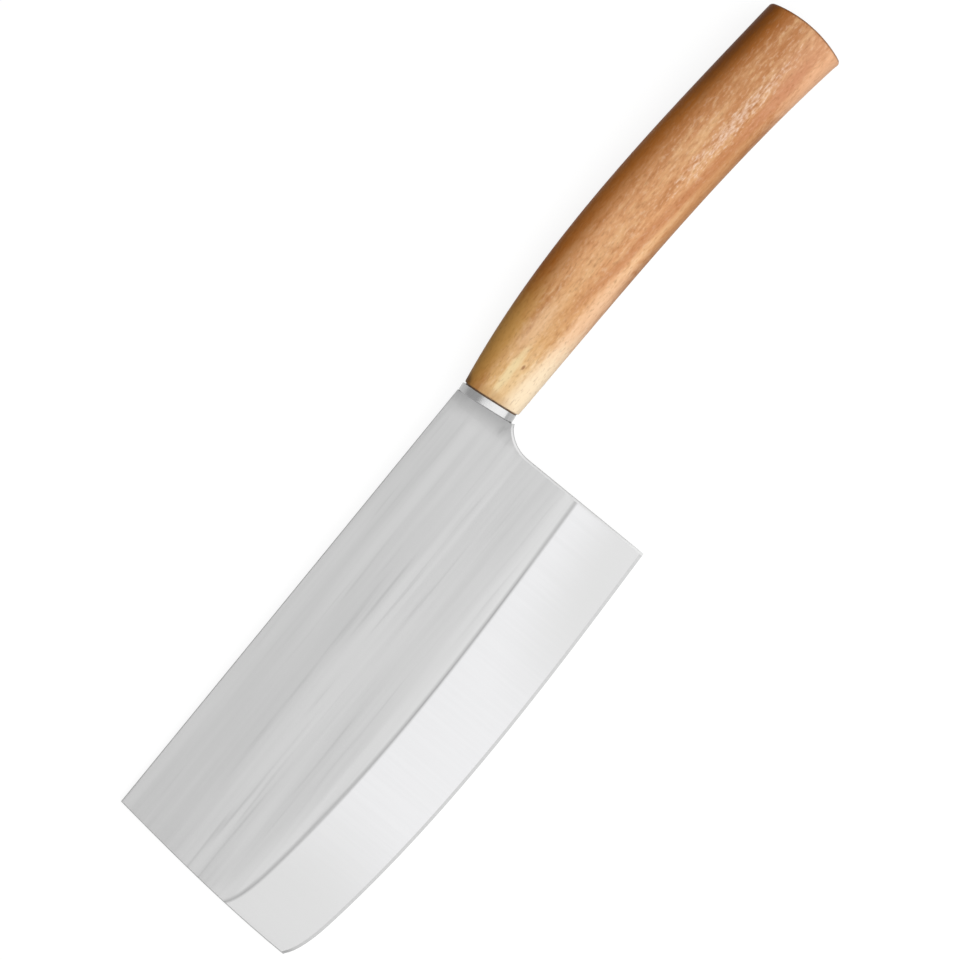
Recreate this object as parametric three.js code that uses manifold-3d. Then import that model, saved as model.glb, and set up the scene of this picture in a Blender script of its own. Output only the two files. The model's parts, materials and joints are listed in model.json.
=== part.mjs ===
// A Japanese-style cleaver: a ground stainless blade on a hidden tang, a slotted oval collar, a curved
// one-piece wooden handle, and the resin that beds the tang in the wood.
// It is drawn in the blade's own plane: x runs from the heel line to the butt, y is 0 on the spine and falls
// towards the edge, z is 0 in the blade's mid plane. The finished knife then lies on its side.
import * as THREE from "three";
import { mergeVertices } from "three/addons/utils/BufferGeometryUtils.js";
import Module from "manifold-3d";

// Blade outline, in millimetres and degrees
const bladeLength = 165;
const bladeThickness = 2.2;
const heelDepth = 75.9; // spine to heel corner
const toeStartDepth = 73.5; // spine to the point where the edge starts to sweep up
const toeDepth = 67.9; // spine to toe corner
const toeRun = 16.5; // length of the upward sweep
const toeFullness = 0.78; // share of the sweep's length that keeps the edge's line
const edgeDrop = 2.6; // fall of the edge as it leaves the heel
const edgeRise = 8; // rise of the edge where the sweep starts
const spineSetback = 4.8; // how far the front leans back at the spine
const frontBendDepth = 42; // depth where the leaning front turns upright
const outlineEase = 0.3; // small chamfer round the whole outline

// Blade grind
const bevelWidthHeel = 26;
const bevelWidthToe = 24.6;
const honedWidth = 1; // narrow second bevel at the edge
const honedThickness = 0.5; // blade thickness where the second bevel starts
const edgeThickness = 0.1;

// Neck and tang
const neckLength = 4; // heel line to the shoulder that the collar seats on
const neckDepth = 20.2;
const neckSweep = 5.5; // length over which both faces sweep up to the collar
const neckSwell = 1.4; // how far each face rises there
const heelRadius = 12; // round notch between heel and neck
const tangRootDepth = 10;
const tangEndDepth = 7;
const tangEndWood = 56; // wood left between the tang's end and the butt rim
const tangNotches = 2; // keying notches on each side, spread evenly
const tangNotchRadius = 1.5;

// Where the handle takes the blade
const gripDepth = 10.2; // spine to the handle's axis at the collar
const gripRake = 7; // lean of the collar and of the handle's front

// Collar and resin bed
const collarLength = 2.7;
const collarInset = 0.5; // how far it lies inside the wood's outline, below and on both faces
const collarSpineStep = 0.2; // how far its upper side starts under the spine
const collarRound = 0.7;
const glueLine = 0.4;
const glueInset = 0.6; // how far the glue line lies inside the wood's outline
const bedWall = 1.2; // resin round the tang

// Handle
const handleLength = 147.1; // front face to butt rim
const handleDroop = 3.6; // fall of the axis from front to butt
const frontDepth = 19.4;
const frontThickness = 15;
const frontRound = 0.5;
const buttDepth = 27.9;
const buttThickness = 21.4;
const buttRake = 2;
const buttRound = 1;
const buttArch = 2.4; // bulge of the end between its upper and lower rim
const topRise = 10.3; // slope of the upper outline at the front
const topFall = 4.2; // and at the butt
const bellyFallFront = 1.1; // slope of the lower outline at the front
const bellyFallButt = 8.6; // and at the butt
const ovalPower = 2.6; // 2 is an ellipse, more is squarer
const thicknessEase = 1.7; // how soon the handle swells from front to butt

// Clearances
const seatGap = 0.15; // between faces that seat on each other along the handle's axis
const bedGap = 0.2; // round the tang and round the resin

// Modelling values
const cutMargin = 5; // how far a cutter reaches past what it cuts
const bellySteps = 26;
const toeSteps = 8;
const frontSteps = 12;
const heelSteps = 10;
const sweepSteps = 6;
const notchSteps = 8;
const handleSteps = 26;
const ovalSteps = 44;
const roundSteps = 4;
const endSteps = 6;

const wasm = await Module();
wasm.setup();

const rad = THREE.MathUtils.degToRad;
const lerp = THREE.MathUtils.lerp;
const point = (x, y) => new THREE.Vector2(x, y);
const steps = (count) => Array.from({ length: count + 1 }, (_, k) => k / count);

/** A closed geometry as a solid that can be cut and joined. */
function toSolid(geometry) {
  const bare = geometry.clone();
  bare.deleteAttribute("normal");
  bare.deleteAttribute("uv");
  const merged = mergeVertices(bare);
  const triVerts = new Uint32Array(merged.index.array);
  const vertProperties = merged.attributes.position.array;
  return new wasm.Manifold(new wasm.Mesh({ numProp: 3, vertProperties, triVerts }));
}

/** A solid back as geometry, for a mesh. */
function toGeometry(solid) {
  const mesh = solid.getMesh();
  const geometry = new THREE.BufferGeometry();
  geometry.setAttribute("position", new THREE.BufferAttribute(mesh.vertProperties, 3));
  geometry.setIndex(new THREE.BufferAttribute(mesh.triVerts, 1));
  geometry.computeVertexNormals();
  return geometry;
}

/** A profile in the blade's plane, thickened evenly on both sides of it, with an optional edge chamfer. */
function slab(profile, thickness, ease = 0) {
  const options = {
    depth: thickness - 2 * ease,
    bevelEnabled: ease > 0,
    bevelThickness: ease,
    bevelSize: ease,
    bevelOffset: -ease,
    bevelSegments: 1,
  };
  const geometry = new THREE.ExtrudeGeometry(new THREE.Shape(profile), options);
  return toSolid(geometry.translate(0, 0, ease - thickness / 2));
}

/** A closed solid through rings of equal count, each turning right-handed about the way that they follow. */
function loft(rings) {
  const count = rings[0].length;
  const last = (rings.length - 1) * count;
  const index = [];
  for (let start = 0; start < last; start += count) {
    for (let i = 0; i < count; i++) {
      const a = start + i;
      const b = start + ((i + 1) % count);
      index.push(a, b, b + count, a, b + count, a + count);
    }
  }
  for (let i = 1; i + 1 < count; i++) {
    index.push(0, i + 1, i, last, last + i, last + i + 1);
  }
  const geometry = new THREE.BufferGeometry().setFromPoints(rings.flat());
  return toSolid(geometry.setIndex(index));
}

/** A smooth run between two points that leaves and arrives at given slopes, in degrees. */
function sweep(from, to, leave, arrive) {
  const reach = (to.x - from.x) / 3;
  const first = point(from.x + reach, from.y + reach * Math.tan(rad(leave)));
  const second = point(to.x - reach, to.y - reach * Math.tan(rad(arrive)));
  return new THREE.CubicBezierCurve(from, first, second, to);
}

// The handle's axis where it takes the blade: distances along it start at the blade's shoulder
const gripAxis = point(Math.cos(rad(gripRake)), Math.sin(rad(gripRake)));
const gripUp = point(-gripAxis.y, gripAxis.x);
const gripCentre = point(neckLength, -gripDepth);
const collarStart = seatGap;
const glueStart = collarStart + collarLength + seatGap;
const woodStart = glueStart + glueLine + seatGap;

// What the tang needs in the pieces that it passes through
const tangLength = woodStart + handleLength - tangEndWood;
const slotHalfDepth = tangRootDepth / 2 + bedGap;
const slotThickness = bladeThickness + 2 * bedGap;
const bedHalfDepth = slotHalfDepth + bedWall;
const bedThickness = slotThickness + 2 * bedWall;
const slotStart = gripCentre.x - cutMargin;

// Turns of a rounded edge, from one face to the next
const quarterTurns = steps(roundSteps).map((k) => (k * Math.PI) / 2);

/** The point at height y on the raked line that crosses the axis at a given distance. */
function onRake(along, y) {
  const rise = (y - gripCentre.y) * gripAxis.y;
  return point(gripCentre.x + (along - rise) / gripAxis.x, y);
}

/** The cutting edge from heel to toe: a long shallow belly and a short upward sweep. */
function edgePoints() {
  const heel = point(0, -heelDepth);
  const toeStart = point(toeRun - bladeLength, -toeStartDepth);
  const toe = point(-bladeLength, -toeDepth);
  const bendRun = toeRun * toeFullness;
  const bend = point(toeStart.x - bendRun, toeStart.y + bendRun * Math.tan(rad(edgeRise)));
  const belly = sweep(heel, toeStart, edgeDrop, -edgeRise);
  const toeCurve = new THREE.QuadraticBezierCurve(toeStart, bend, toe);
  return [...belly.getPoints(bellySteps), ...toeCurve.getPoints(toeSteps).slice(1)];
}

/** The front from the spine to the toe: it leans forward and turns upright. */
function frontPoints() {
  const corner = point(spineSetback - bladeLength, 0);
  const bend = point(-bladeLength, -frontBendDepth);
  const toe = point(-bladeLength, -toeDepth);
  return new THREE.QuadraticBezierCurve(corner, bend, toe).getPoints(frontSteps);
}

/** The round notch from the heel line up to the neck's lower corner. */
function heelPoints() {
  const neckCorner = onRake(0, -neckDepth);
  const turn = Math.acos(Math.max(0, 1 - neckCorner.x / heelRadius));
  const centreY = -neckDepth - heelRadius * Math.sin(turn);
  const arc = steps(heelSteps).map((k) =>
    point(heelRadius * (1 - Math.cos(turn * k)), centreY + heelRadius * Math.sin(turn * k)),
  );
  return [...arc, neckCorner];
}

/** One side of the tang from root to end, as distance from the root and distance from the axis. */
function tangSide(grow) {
  const radius = tangNotchRadius - grow;
  const side = [];
  for (let n = 1; n <= tangNotches; n++) {
    const share = n / (tangNotches + 1);
    const centre = tangLength * share;
    const half = lerp(tangRootDepth, tangEndDepth, share) / 2 + grow;
    for (const k of steps(notchSteps)) {
      const turn = Math.PI * k;
      side.push(point(centre - radius * Math.cos(turn), half - radius * Math.sin(turn)));
    }
  }
  side.push(point(tangLength + grow, tangEndDepth / 2 + grow));
  return side;
}

/** The tang's outline from its lower root round the end to its upper root. */
function tangPoints(grow, lowerRoot, upperRoot) {
  const side = tangSide(grow);
  const lower = side.map((p) => point(gripCentre.x + p.x, gripCentre.y - p.y));
  const upper = side.map((p) => point(gripCentre.x + p.x, gripCentre.y + p.y)).reverse();
  return [lowerRoot, ...lower, ...upper, upperRoot];
}

/** The cutter that grinds one face from the bevel line down to the edge. */
function grindCutter(edge, side) {
  const faceZ = bladeThickness / 2;
  const topZ = faceZ + cutMargin;
  const ends = [edge[0].clone().setX(cutMargin), edge.at(-1).clone().setX(-bladeLength - cutMargin)];
  const rings = [ends[0], ...edge, ends[1]].map((p) => {
    const at = (y, z) => new THREE.Vector3(p.x, y, side * z);
    const share = THREE.MathUtils.clamp(-p.x / bladeLength, 0, 1);
    const bevelY = p.y + lerp(bevelWidthHeel, bevelWidthToe, share);
    const ring = [
      at(bevelY, topZ),
      at(bevelY, faceZ),
      at(p.y + honedWidth, honedThickness / 2),
      at(p.y, edgeThickness / 2),
      at(p.y - cutMargin, edgeThickness / 2),
    ];
    return [at(p.y - cutMargin, topZ), ...(side > 0 ? ring : ring.reverse())];
  });
  return loft(rings);
}

/** The neck between its two faces that sweep up to the collar, cut to the blade's outline. */
function neckSolid(outline) {
  const corners = [[1, 1], [-1, 1], [-1, -1], [1, -1]];
  const rings = steps(sweepSteps).map((share) => {
    const centre = gripCentre.clone().addScaledVector(gripAxis, neckSweep * (share - 1));
    const half = bladeThickness / 2 + neckSwell * share ** 2;
    return corners.map(([rise, side]) => {
      const spot = centre.clone().addScaledVector(gripUp, rise * neckDepth);
      return new THREE.Vector3(spot.x, spot.y, side * half);
    });
  });
  return slab(outline, bladeThickness + 2 * neckSwell, outlineEase).intersect(loft(rings));
}

/** The blade, its neck and its tang in one piece. */
function makeBlade() {
  const edge = edgePoints();
  const halfRoot = tangRootDepth / 2;
  const lowerRoot = onRake(0, gripCentre.y - halfRoot);
  const upperRoot = onRake(0, gripCentre.y + halfRoot);
  const outline = [
    onRake(0, 0),
    ...frontPoints(),
    ...edge.toReversed().slice(1),
    ...heelPoints(),
    ...tangPoints(0, lowerRoot, upperRoot),
  ];
  return slab(outline, bladeThickness, outlineEase)
    .add(neckSolid(outline))
    .subtract(grindCutter(edge, 1))
    .subtract(grindCutter(edge, -1));
}

/** An oval ring in a handle section, drawn in from its outline and pushed along its axis. */
function ovalRing(section, inset, push) {
  const bend = (value) => Math.sign(value) * Math.abs(value) ** (2 / ovalPower);
  const ring = [];
  for (let i = 0; i < ovalSteps; i++) {
    const turn = (2 * Math.PI * i) / ovalSteps;
    const rise = (section.halfDepth - inset) * bend(Math.cos(turn));
    const z = (section.halfThickness - inset) * bend(Math.sin(turn));
    const along = push + (section.bulge?.(rise) ?? 0);
    const spot = section.centre.clone().addScaledVector(section.axis, along).addScaledVector(section.up, rise);
    ring.push(new THREE.Vector3(spot.x, spot.y, z));
  }
  return ring;
}

/** The handle's section at a distance along the axis at the collar, with the wood's front outline. */
function gripSection(along) {
  return {
    centre: gripCentre.clone().addScaledVector(gripAxis, along),
    axis: gripAxis,
    up: gripUp,
    halfDepth: frontDepth / 2,
    halfThickness: frontThickness / 2,
  };
}

/** The wood's sections from front to butt, between its upper and lower outlines. */
function woodSections() {
  const front = gripSection(woodStart).centre;
  const butt = point(front.x + handleLength, front.y - handleDroop);
  const buttUp = point(Math.sin(rad(buttRake)), Math.cos(rad(buttRake)));
  const ends = [1, -1].map((side) => [
    front.clone().addScaledVector(gripUp, (side * frontDepth) / 2),
    butt.clone().addScaledVector(buttUp, (side * buttDepth) / 2),
  ]);
  const top = sweep(...ends[0], topRise, -topFall);
  const belly = sweep(...ends[1], -bellyFallFront, -bellyFallButt);
  return steps(handleSteps).map((u) => {
    const upper = top.getPoint(u);
    const lower = belly.getPoint(u);
    const up = upper.clone().sub(lower).normalize();
    const swell = 1 - (1 - u) ** thicknessEase;
    return {
      centre: upper.clone().add(lower).multiplyScalar(0.5),
      axis: point(up.y, -up.x),
      up,
      halfDepth: upper.distanceTo(lower) / 2,
      halfThickness: lerp(frontThickness, buttThickness, swell) / 2,
    };
  });
}

/** The resin bed's outline, grown by a clearance, from a raked front to past the tang's end. */
function bedPoints(along, grow) {
  const half = bedHalfDepth + grow;
  const end = gripCentre.x + tangLength + bedGap + bedWall + grow;
  const lower = gripCentre.y - half;
  const upper = gripCentre.y + half;
  return [onRake(along, lower), point(end, lower), point(end, upper), onRake(along, upper)];
}

/** The curved wooden handle with its rounded front, arched butt and mortise. */
function makeHandle(sections) {
  const front = sections[0];
  const rim = sections.at(-1);
  // The end bulges between its upper and lower rim, and is straight across its thickness
  const butt = { ...rim, bulge: (rise) => buttArch * (1 - (rise / rim.halfDepth) ** 2) };
  const rings = quarterTurns.map((turn) =>
    ovalRing(front, frontRound * (1 - Math.sin(turn)), frontRound * (1 - Math.cos(turn))),
  );
  rings.push(...sections.slice(1, -1).map((section) => ovalRing(section, 0, 0)));
  rings.push(...quarterTurns.map((turn) =>
    ovalRing(butt, buttRound * (1 - Math.cos(turn)), buttRound * (Math.sin(turn) - 1)),
  ));
  const cap = {
    ...butt,
    halfDepth: butt.halfDepth - buttRound,
    halfThickness: butt.halfThickness - buttRound,
  };
  for (let k = 1; k < endSteps; k++) {
    const share = 1 - k / endSteps;
    const shrunk = { ...cap, halfDepth: cap.halfDepth * share, halfThickness: cap.halfThickness * share };
    rings.push(ovalRing(shrunk, 0, 0));
  }
  const mortise = slab(bedPoints(woodStart - cutMargin, bedGap), bedThickness + 2 * bedGap);
  return loft(rings).subtract(mortise);
}

/** The collar's section at its front: level with the spine above, inside the wood's outline elsewhere. */
function collarSection() {
  const seat = gripSection(collarStart);
  const top = gripDepth / gripAxis.x - collarSpineStep;
  const bottom = seat.halfDepth - collarInset;
  return {
    ...seat,
    centre: seat.centre.addScaledVector(gripUp, (top - bottom) / 2),
    halfDepth: (top + bottom) / 2,
    halfThickness: seat.halfThickness - collarInset,
  };
}

/** The slotted oval collar, rounded at its front. */
function makeBolster() {
  const seat = collarSection();
  const rings = quarterTurns.map((turn) =>
    ovalRing(seat, collarRound * (1 - Math.sin(turn)), collarRound * (1 - Math.cos(turn))),
  );
  rings.push(ovalRing(seat, 0, collarLength));
  const slotEnd = gripCentre.x + collarLength + cutMargin;
  const lower = gripCentre.y - slotHalfDepth;
  const upper = gripCentre.y + slotHalfDepth;
  const slot = [
    point(slotStart, lower),
    point(slotEnd, lower),
    point(slotEnd, upper),
    point(slotStart, upper),
  ];
  return loft(rings).subtract(slab(slot, slotThickness));
}

/** The resin round the tang, with the thin glue line that it leaves between collar and wood. */
function makeBedding() {
  const seat = gripSection(glueStart);
  const flange = loft([ovalRing(seat, glueInset, 0), ovalRing(seat, glueInset, glueLine)]);
  const sleeve = slab(bedPoints(glueStart + glueLine / 2, 0), bedThickness);
  const lowerRoot = point(slotStart, gripCentre.y - slotHalfDepth);
  const upperRoot = point(slotStart, gripCentre.y + slotHalfDepth);
  const cavity = slab(tangPoints(bedGap, lowerRoot, upperRoot), slotThickness);
  return flange.add(sleeve).subtract(cavity);
}

/** How far the knife tips to lie on the blade's front and on the swell of the handle. */
function restAngle(sections) {
  const tips = sections.map((section) =>
    Math.atan2(section.halfThickness - bladeThickness / 2, section.centre.x + bladeLength),
  );
  return Math.max(...tips);
}

const steel = new THREE.MeshStandardMaterial({ color: 0xc6c6c4, metalness: 1, roughness: 0.34 });
const polishedSteel = new THREE.MeshStandardMaterial({ color: 0xe2e2e0, metalness: 1, roughness: 0.16 });
const wood = new THREE.MeshStandardMaterial({ color: 0xcf9a68, metalness: 0, roughness: 0.45 });
const resin = new THREE.MeshStandardMaterial({ color: 0x4a3626, metalness: 0, roughness: 0.5 });

const sections = woodSections();
const pieces = [
  ["blade", makeBlade(), steel],
  ["bolster", makeBolster(), polishedSteel],
  ["handle", makeHandle(sections), wood],
  ["tang_bedding", makeBedding(), resin],
];

const knife = new THREE.Group();
for (const [name, solid, material] of pieces) {
  const mesh = new THREE.Mesh(toGeometry(solid), material);
  mesh.name = name;
  knife.add(mesh);
}
knife.rotation.y = -restAngle(sections);

// The origin lies on the table, under the middle of the knife
const reach = new THREE.Box3().setFromObject(knife, true);
const middle = reach.getCenter(new THREE.Vector3());
knife.position.set(-middle.x, -middle.y, -reach.min.z);

const cleaver = new THREE.Group();
cleaver.add(knife);

export default cleaver;
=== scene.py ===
"""A Japanese-style cleaver on a studio floor: ground stainless blade, polished collar, beech handle.

Each piece is drawn in millimetres in the knife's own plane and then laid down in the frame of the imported
model. In the drawing x runs from the heel line to the butt, y is 0 on the spine and falls towards the
edge, and z is 0 in the blade's mid plane.
"""

import json
import logging
import math
from collections.abc import Callable
from dataclasses import dataclass, replace
from enum import IntEnum
from functools import partial
from itertools import pairwise
from typing import Any

import bmesh
import bpy
from mathutils import Matrix, Vector
from mathutils.kdtree import KDTree


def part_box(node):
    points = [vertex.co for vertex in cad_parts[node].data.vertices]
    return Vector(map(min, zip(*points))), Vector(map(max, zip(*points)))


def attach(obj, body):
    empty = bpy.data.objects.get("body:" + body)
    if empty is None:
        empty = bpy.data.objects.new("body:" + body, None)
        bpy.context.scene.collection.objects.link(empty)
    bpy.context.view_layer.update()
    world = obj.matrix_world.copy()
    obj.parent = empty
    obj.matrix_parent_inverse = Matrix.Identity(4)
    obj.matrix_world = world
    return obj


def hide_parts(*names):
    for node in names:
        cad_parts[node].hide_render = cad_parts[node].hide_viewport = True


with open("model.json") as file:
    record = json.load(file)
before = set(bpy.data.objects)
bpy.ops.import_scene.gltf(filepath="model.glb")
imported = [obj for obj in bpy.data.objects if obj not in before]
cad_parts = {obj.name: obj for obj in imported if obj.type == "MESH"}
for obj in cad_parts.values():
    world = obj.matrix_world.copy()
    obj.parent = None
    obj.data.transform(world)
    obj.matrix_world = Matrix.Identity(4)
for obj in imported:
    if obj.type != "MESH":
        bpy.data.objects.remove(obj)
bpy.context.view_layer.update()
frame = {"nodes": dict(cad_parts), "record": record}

log = logging.getLogger("cleaver")

Tint = bpy.types.NodeSocket | tuple[float, float, float, float]  # a colour, or the output that gives it

MM = 0.001  # the drawings are in millimetres, the frame in metres
BODY = "root"
TOUCH = 0.01  # points closer than this lie on each other, in millimetres
QUARTER_TURN = math.pi / 2
GRID_HALF = 0.5  # the grid that a face is drawn from is 1 wide and lies round the origin
CROSSING_ROUNDS = 6  # rounds in which a column closes in on a line that runs along the edge
EASE_LIMIT = 0.6  # the most of a thin edge that its easing takes away
SLOT_REACH = 8.0  # how far a slot is cut past the face that it starts from, in millimetres
CLOUD_LOW, CLOUD_MIDDLE, CLOUD_HIGH = 0.3, 0.5, 0.7  # nearly all of a cloud pattern's values lie here
PATCH_CORE = 0.3  # a patch has its full strength within this share of its half size
TOWARD_SPINE = "toward_spine"  # how far a point of the handle lies towards the spine, from -1 to 1
ABOVE_SEAM = "above_seam"  # how far a point of the blade lies above the grind seam, in millimetres


def linear(code: str) -> tuple[float, float, float, float]:
    """Turns an sRGB hex colour into the linear colour that a shader takes.

    Args:
        code: The colour, with its hash sign.

    Returns:
        Red, green and blue, and 1 for opaque.
    """
    parts = (int(code[start : start + 2], 16) / 255 for start in (1, 3, 5))
    # The sRGB standard's own curve
    red, green, blue = (v / 12.92 if v <= 0.04045 else ((v + 0.055) / 1.055) ** 2.4 for v in parts)
    return red, green, blue, 1.0


def add_node(
    tree: bpy.types.NodeTree,
    kind: str,
    inputs: dict[str | int, Any] | None = None,
    give: str = "",
    **settings: Any,
) -> bpy.types.NodeSocket:
    """Adds a node with its settings, values and links.

    Args:
        tree: The tree that gets the node.
        kind: The node's type.
        inputs: A value or an output socket for each input, by its name or number.
        give: The name of the output that is wanted, or nothing for the first one in use.
        **settings: The node's own options.

    Returns:
        The wanted output.
    """
    node = tree.nodes.new(kind)
    for option, value in settings.items():
        setattr(node, option, value)
    for key, value in (inputs or {}).items():
        live = node.inputs if isinstance(key, int) else {s.name: s for s in node.inputs if s.enabled}
        if isinstance(value, bpy.types.NodeSocket):
            tree.links.new(value, live[key])
        else:
            live[key].default_value = value
    return next(s for s in node.outputs if s.enabled and give in ("", s.name))


def start_material(name: str) -> tuple[bpy.types.Material, bpy.types.NodeTree, bpy.types.Node]:
    """Adds a material.

    Args:
        name: The material's name.

    Returns:
        The material, its node tree and its main shader.
    """
    material = bpy.data.materials.new(name)
    material.use_nodes = True
    return material, material.node_tree, material.node_tree.nodes["Principled BSDF"]


def lerp(start: float, end: float, share: float) -> float:
    """Returns the value at a share of the way from start to end."""
    return start + (end - start) * share


def clamp(share: float) -> float:
    """Returns a share held between 0 and 1."""
    return min(max(share, 0.0), 1.0)


def slope(degrees: float) -> float:
    """Returns the rise over run of an angle in degrees."""
    return math.tan(math.radians(degrees))


def shares(count: int) -> list[float]:
    """Returns count + 1 even shares from 0 to 1."""
    return [step / count for step in range(count + 1)]


def arch_share(start: float, bend: float, end: float, value: float) -> float:
    """Finds where a quadratic curve reaches a value.

    Args:
        start: The curve's first control value.
        bend: Its middle control value.
        end: Its last control value.
        value: The value to reach.

    Returns:
        The curve's parameter there, from 0 to 1.
    """
    a = start - 2 * bend + end
    b = 2 * (bend - start)
    c = start - value
    root = math.copysign(math.sqrt(max(b * b - 4 * a * c, 0.0)), b)
    return clamp(-2 * c / (b + root))


def arch(start: float, bend: float, end: float, share: float) -> float:
    """Returns a quadratic curve's value at its parameter."""
    return lerp(lerp(start, bend, share), lerp(bend, end, share), share)


def sweep(start: Vector, end: Vector, leave: float, arrive: float, share: float) -> Vector:
    """Returns a point of a smooth run that leaves and arrives at given slopes.

    Args:
        start: The first point.
        end: The last point.
        leave: The slope at the start, in degrees.
        arrive: The slope at the end, in degrees.
        share: How far along the run the point lies, from 0 to 1.

    Returns:
        The point. Its x is even in share.
    """
    run = (end.x - start.x) / 3
    first = start.y + run * slope(leave)
    second = end.y - run * slope(arrive)
    near = arch(start.y, first, second, share)
    far = arch(first, second, end.y, share)
    return Vector((lerp(start.x, end.x, share), lerp(near, far, share)))


class Zone(IntEnum):
    """The ground parts of the blade, in the order of its materials."""

    FLAT = 0
    SEAM = 1
    BEVEL = 2
    HONED = 3
    RIM = 4


@dataclass(frozen=True)
class Cloud:
    """A cloudy pattern that is fixed in a piece. Its size is that of one cloud, in millimetres."""

    size: tuple[float, float, float]
    detail: float = 2.0
    roughness: float = 0.55

    def add(self, tree: bpy.types.NodeTree) -> bpy.types.NodeSocket:
        """Adds the pattern.

        Args:
            tree: The material's tree.

        Returns:
            Its value, from 0 to 1 and mostly near the middle.
        """
        place = add_node(tree, "ShaderNodeTexCoord", give="Object")
        scale = tuple(1 / (length * MM) for length in self.size)
        scaled = add_node(tree, "ShaderNodeMapping", {"Vector": place, "Scale": scale})
        inputs = {"Vector": scaled, "Scale": 1.0, "Detail": self.detail, "Roughness": self.roughness}
        return add_node(tree, "ShaderNodeTexNoise", inputs)


@dataclass(frozen=True)
class Tone:
    """A colour that comes out as a pattern goes from start to full, by default in a cloud's dips."""

    colour: str
    start: float = CLOUD_HIGH
    full: float = CLOUD_LOW
    strength: float = 1.0

    def over(
        self, tree: bpy.types.NodeTree, tint: Tint, value: bpy.types.NodeSocket
    ) -> bpy.types.NodeSocket:
        """Lays the colour over another.

        Args:
            tree: The material's tree.
            tint: The colour under it.
            value: The pattern.

        Returns:
            The mixed colour.
        """
        inputs = {"Value": value, "From Min": self.start, "From Max": self.full, "To Max": self.strength}
        share = add_node(tree, "ShaderNodeMapRange", inputs, interpolation_type="SMOOTHSTEP")
        mixed = {"Factor": share, "A": tint, "B": linear(self.colour)}
        return add_node(tree, "ShaderNodeMix", mixed, data_type="RGBA")


@dataclass(frozen=True)
class Gloss:
    """A roughness that plays between two values as a pattern rises."""

    smooth: float
    rough: float

    def add(self, tree: bpy.types.NodeTree, value: bpy.types.NodeSocket) -> bpy.types.NodeSocket:
        """Adds the roughness for a pattern's value and returns it."""
        inputs = {"Value": value, "From Min": CLOUD_LOW, "From Max": CLOUD_HIGH}
        return add_node(tree, "ShaderNodeMapRange", inputs | {"To Min": self.smooth, "To Max": self.rough})


@dataclass(frozen=True)
class Patch:
    """A soft oval patch of another colour, in millimetres of the drawing.

    Its turn is in degrees, and its fray is how far a pattern breaks its edge up.
    """

    colour: str
    strength: float
    centre: tuple[float, float, float]
    half_size: tuple[float, float, float]
    turn: float = 0.0
    fray: float = 0.4

    def over(
        self, tree: bpy.types.NodeTree, tint: Tint, wobble: bpy.types.NodeSocket, lay: Matrix
    ) -> bpy.types.NodeSocket:
        """Lays the patch over a colour.

        Args:
            tree: The material's tree.
            tint: The colour under the patch.
            wobble: The pattern that frays its edge.
            lay: The matrix from the drawing to the frame.

        Returns:
            The colour with the patch.
        """
        inputs = {
            "Vector": add_node(tree, "ShaderNodeTexCoord", give="Object"),
            "Location": lay @ Vector(self.centre),
            "Rotation": (0.0, 0.0, math.radians(self.turn)),
            "Scale": tuple(half * MM for half in self.half_size),
        }
        own = add_node(tree, "ShaderNodeMapping", inputs, vector_type="TEXTURE")
        reach = add_node(tree, "ShaderNodeVectorMath", {0: own}, give="Value", operation="LENGTH")
        fraying = {0: wobble, 1: self.fray, 2: reach}
        frayed = add_node(tree, "ShaderNodeMath", fraying, operation="MULTIPLY_ADD")
        # The reach is 1 on the oval's outline, and fraying adds this much to it on average
        added = self.fray * CLOUD_MIDDLE
        return Tone(self.colour, 1.0 + added, PATCH_CORE + added, self.strength).over(tree, tint, frayed)


@dataclass(frozen=True)
class Steel:
    """Stainless steel, worked over a belt, a wheel or a stone.

    A layer is a pattern of marks with the tone that it brings out. The last one also plays in the gloss
    and frays the patches. The seam's tones follow the distance above the grind seam, in millimetres.
    """

    name: str
    colour: str
    gloss: Gloss
    layers: tuple[tuple[Cloud, Tone], ...]
    patches: tuple[Patch, ...] = ()
    seam: tuple[Tone, ...] = ()

    def make(self, lay: Matrix) -> bpy.types.Material:
        """Makes the material.

        Args:
            lay: The matrix from the drawing to the frame.

        Returns:
            The material.
        """
        material, tree, surface = start_material(self.name)
        marks = [cloud.add(tree) for cloud, _ in self.layers]
        tint: Tint = linear(self.colour)
        for mark, (_, tone) in zip(marks, self.layers):
            tint = tone.over(tree, tint, mark)
        for patch in self.patches:
            tint = patch.over(tree, tint, marks[-1], lay)
        for tone in self.seam:
            above_seam = add_node(tree, "ShaderNodeAttribute", give="Fac", attribute_name=ABOVE_SEAM)
            tint = tone.over(tree, tint, above_seam)
        surface.inputs["Metallic"].default_value = 1.0
        tree.links.new(tint, surface.inputs["Base Color"])
        tree.links.new(self.gloss.add(tree, marks[-1]), surface.inputs["Roughness"])
        return material


# Marks of wheel, stone or belt across the edge. Real ones are finer than 0.1 mm, too fine to show, so
# they are drawn wider
CROSS_MARKS = Cloud((1.2, 40.0, 40.0))
EVEN_GLOSS = Gloss(0.295, 0.305)

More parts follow.
